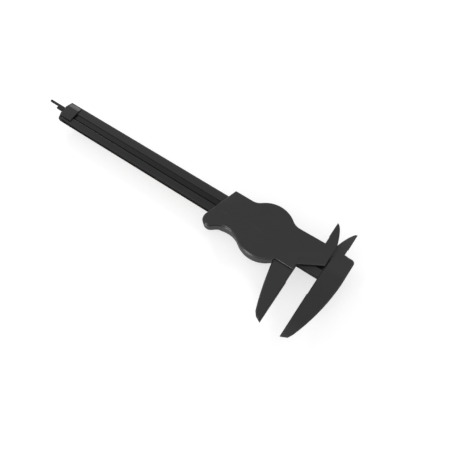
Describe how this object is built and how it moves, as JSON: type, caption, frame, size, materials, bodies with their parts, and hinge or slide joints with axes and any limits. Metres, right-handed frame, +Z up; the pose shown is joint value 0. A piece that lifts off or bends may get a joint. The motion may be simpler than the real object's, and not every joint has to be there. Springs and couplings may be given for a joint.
{
  "type": "dial caliper",
  "caption": "Black plastic dial caliper lying on its dial, jaws part open, with outside jaws, inside nibs, a geared pointer, a turning bezel and a depth rod.",
  "frame": {"origin": "middle of the bounding box, at the bottom, where the bezel's rim rests", "axes": "+X along the beam towards the fixed jaw, +Y towards the inside nibs, +Z up out of the back"},
  "size_m": [0.2472, 0.0786, 0.0158],
  "materials": {
    "beam": "fine moulded texture, black",
    "rack": "cut teeth",
    "rack_screw_left": "slotted",
    "rack_screw_right": "slotted",
    "end_clip": "fine moulded texture, black",
    "slider_body": "fine moulded texture, black",
    "back_cover": "fine moulded texture, black",
    "depth_rod": "smooth, black",
    "gib_strip": "rolled",
    "gib_spring": "spring temper",
    "cover_screw_upper_left": "slotted",
    "cover_screw_upper_right": "slotted",
    "cover_screw_lower_left": "slotted",
    "cover_screw_lower_right": "slotted",
    "movement_bridge": "rolled",
    "bridge_screw_left": "slotted",
    "bridge_screw_right": "slotted",
    "inner_bush": "turned",
    "outer_bush": "turned",
    "bezel_spring": "drawn wire",
    "bezel": "fine moulded texture, black",
    "crystal": "clear, polished",
    "dial_plate": "printed, satin",
    "pointer_arbor": "turned",
    "pinion": "cut teeth",
    "pointer": "black paint",
    "pointer_hub": "turned"
  },
  "bodies": {
    "beam": {"beam": "beam", "rack": "rack", "rack_screw_left": "rack_screw_left", "rack_screw_right": "rack_screw_right", "end_clip": "end_clip"},
    "slider": {"slider_body": "slider_body", "back_cover": "back_cover", "depth_rod": "depth_rod", "gib_strip": "gib_strip", "gib_spring": "gib_spring", "cover_screw_upper_left": "cover_screw_upper_left", "cover_screw_upper_right": "cover_screw_upper_right", "cover_screw_lower_left": "cover_screw_lower_left", "cover_screw_lower_right": "cover_screw_lower_right", "movement_bridge": "movement_bridge", "bridge_screw_left": "bridge_screw_left", "bridge_screw_right": "bridge_screw_right", "inner_bush": "inner_bush", "outer_bush": "outer_bush", "bezel_spring": "bezel_spring"},
    "bezel": {"bezel": "bezel", "crystal": "crystal", "dial_plate": "dial_plate"},
    "pointer": {"pointer_arbor": "pointer_arbor", "pinion": "pinion", "pointer": "pointer", "pointer_hub": "pointer_hub"}
  },
  "joints": [
    {"name": "slider_slide", "type": "slide", "parent": "beam", "child": "slider", "axis": [-1, 0, 0], "range_m": [-0.0141, 0.1359]},
    {"name": "pointer_turn", "type": "hinge", "parent": "slider", "child": "pointer", "pos_m": [0.0669, 0.0107, 0], "axis": [0, 0, 1], "range_deg": [-508, 4893]},
    {"name": "bezel_turn", "type": "hinge", "parent": "slider", "child": "bezel", "pos_m": [0.0669, 0.0107, 0], "axis": [0, 0, 1], "continuous": true}
  ],
  "couplings": [
    {"joint": "pointer_turn", "follows": "slider_slide", "rad_per_m": 628.32}
  ]
}
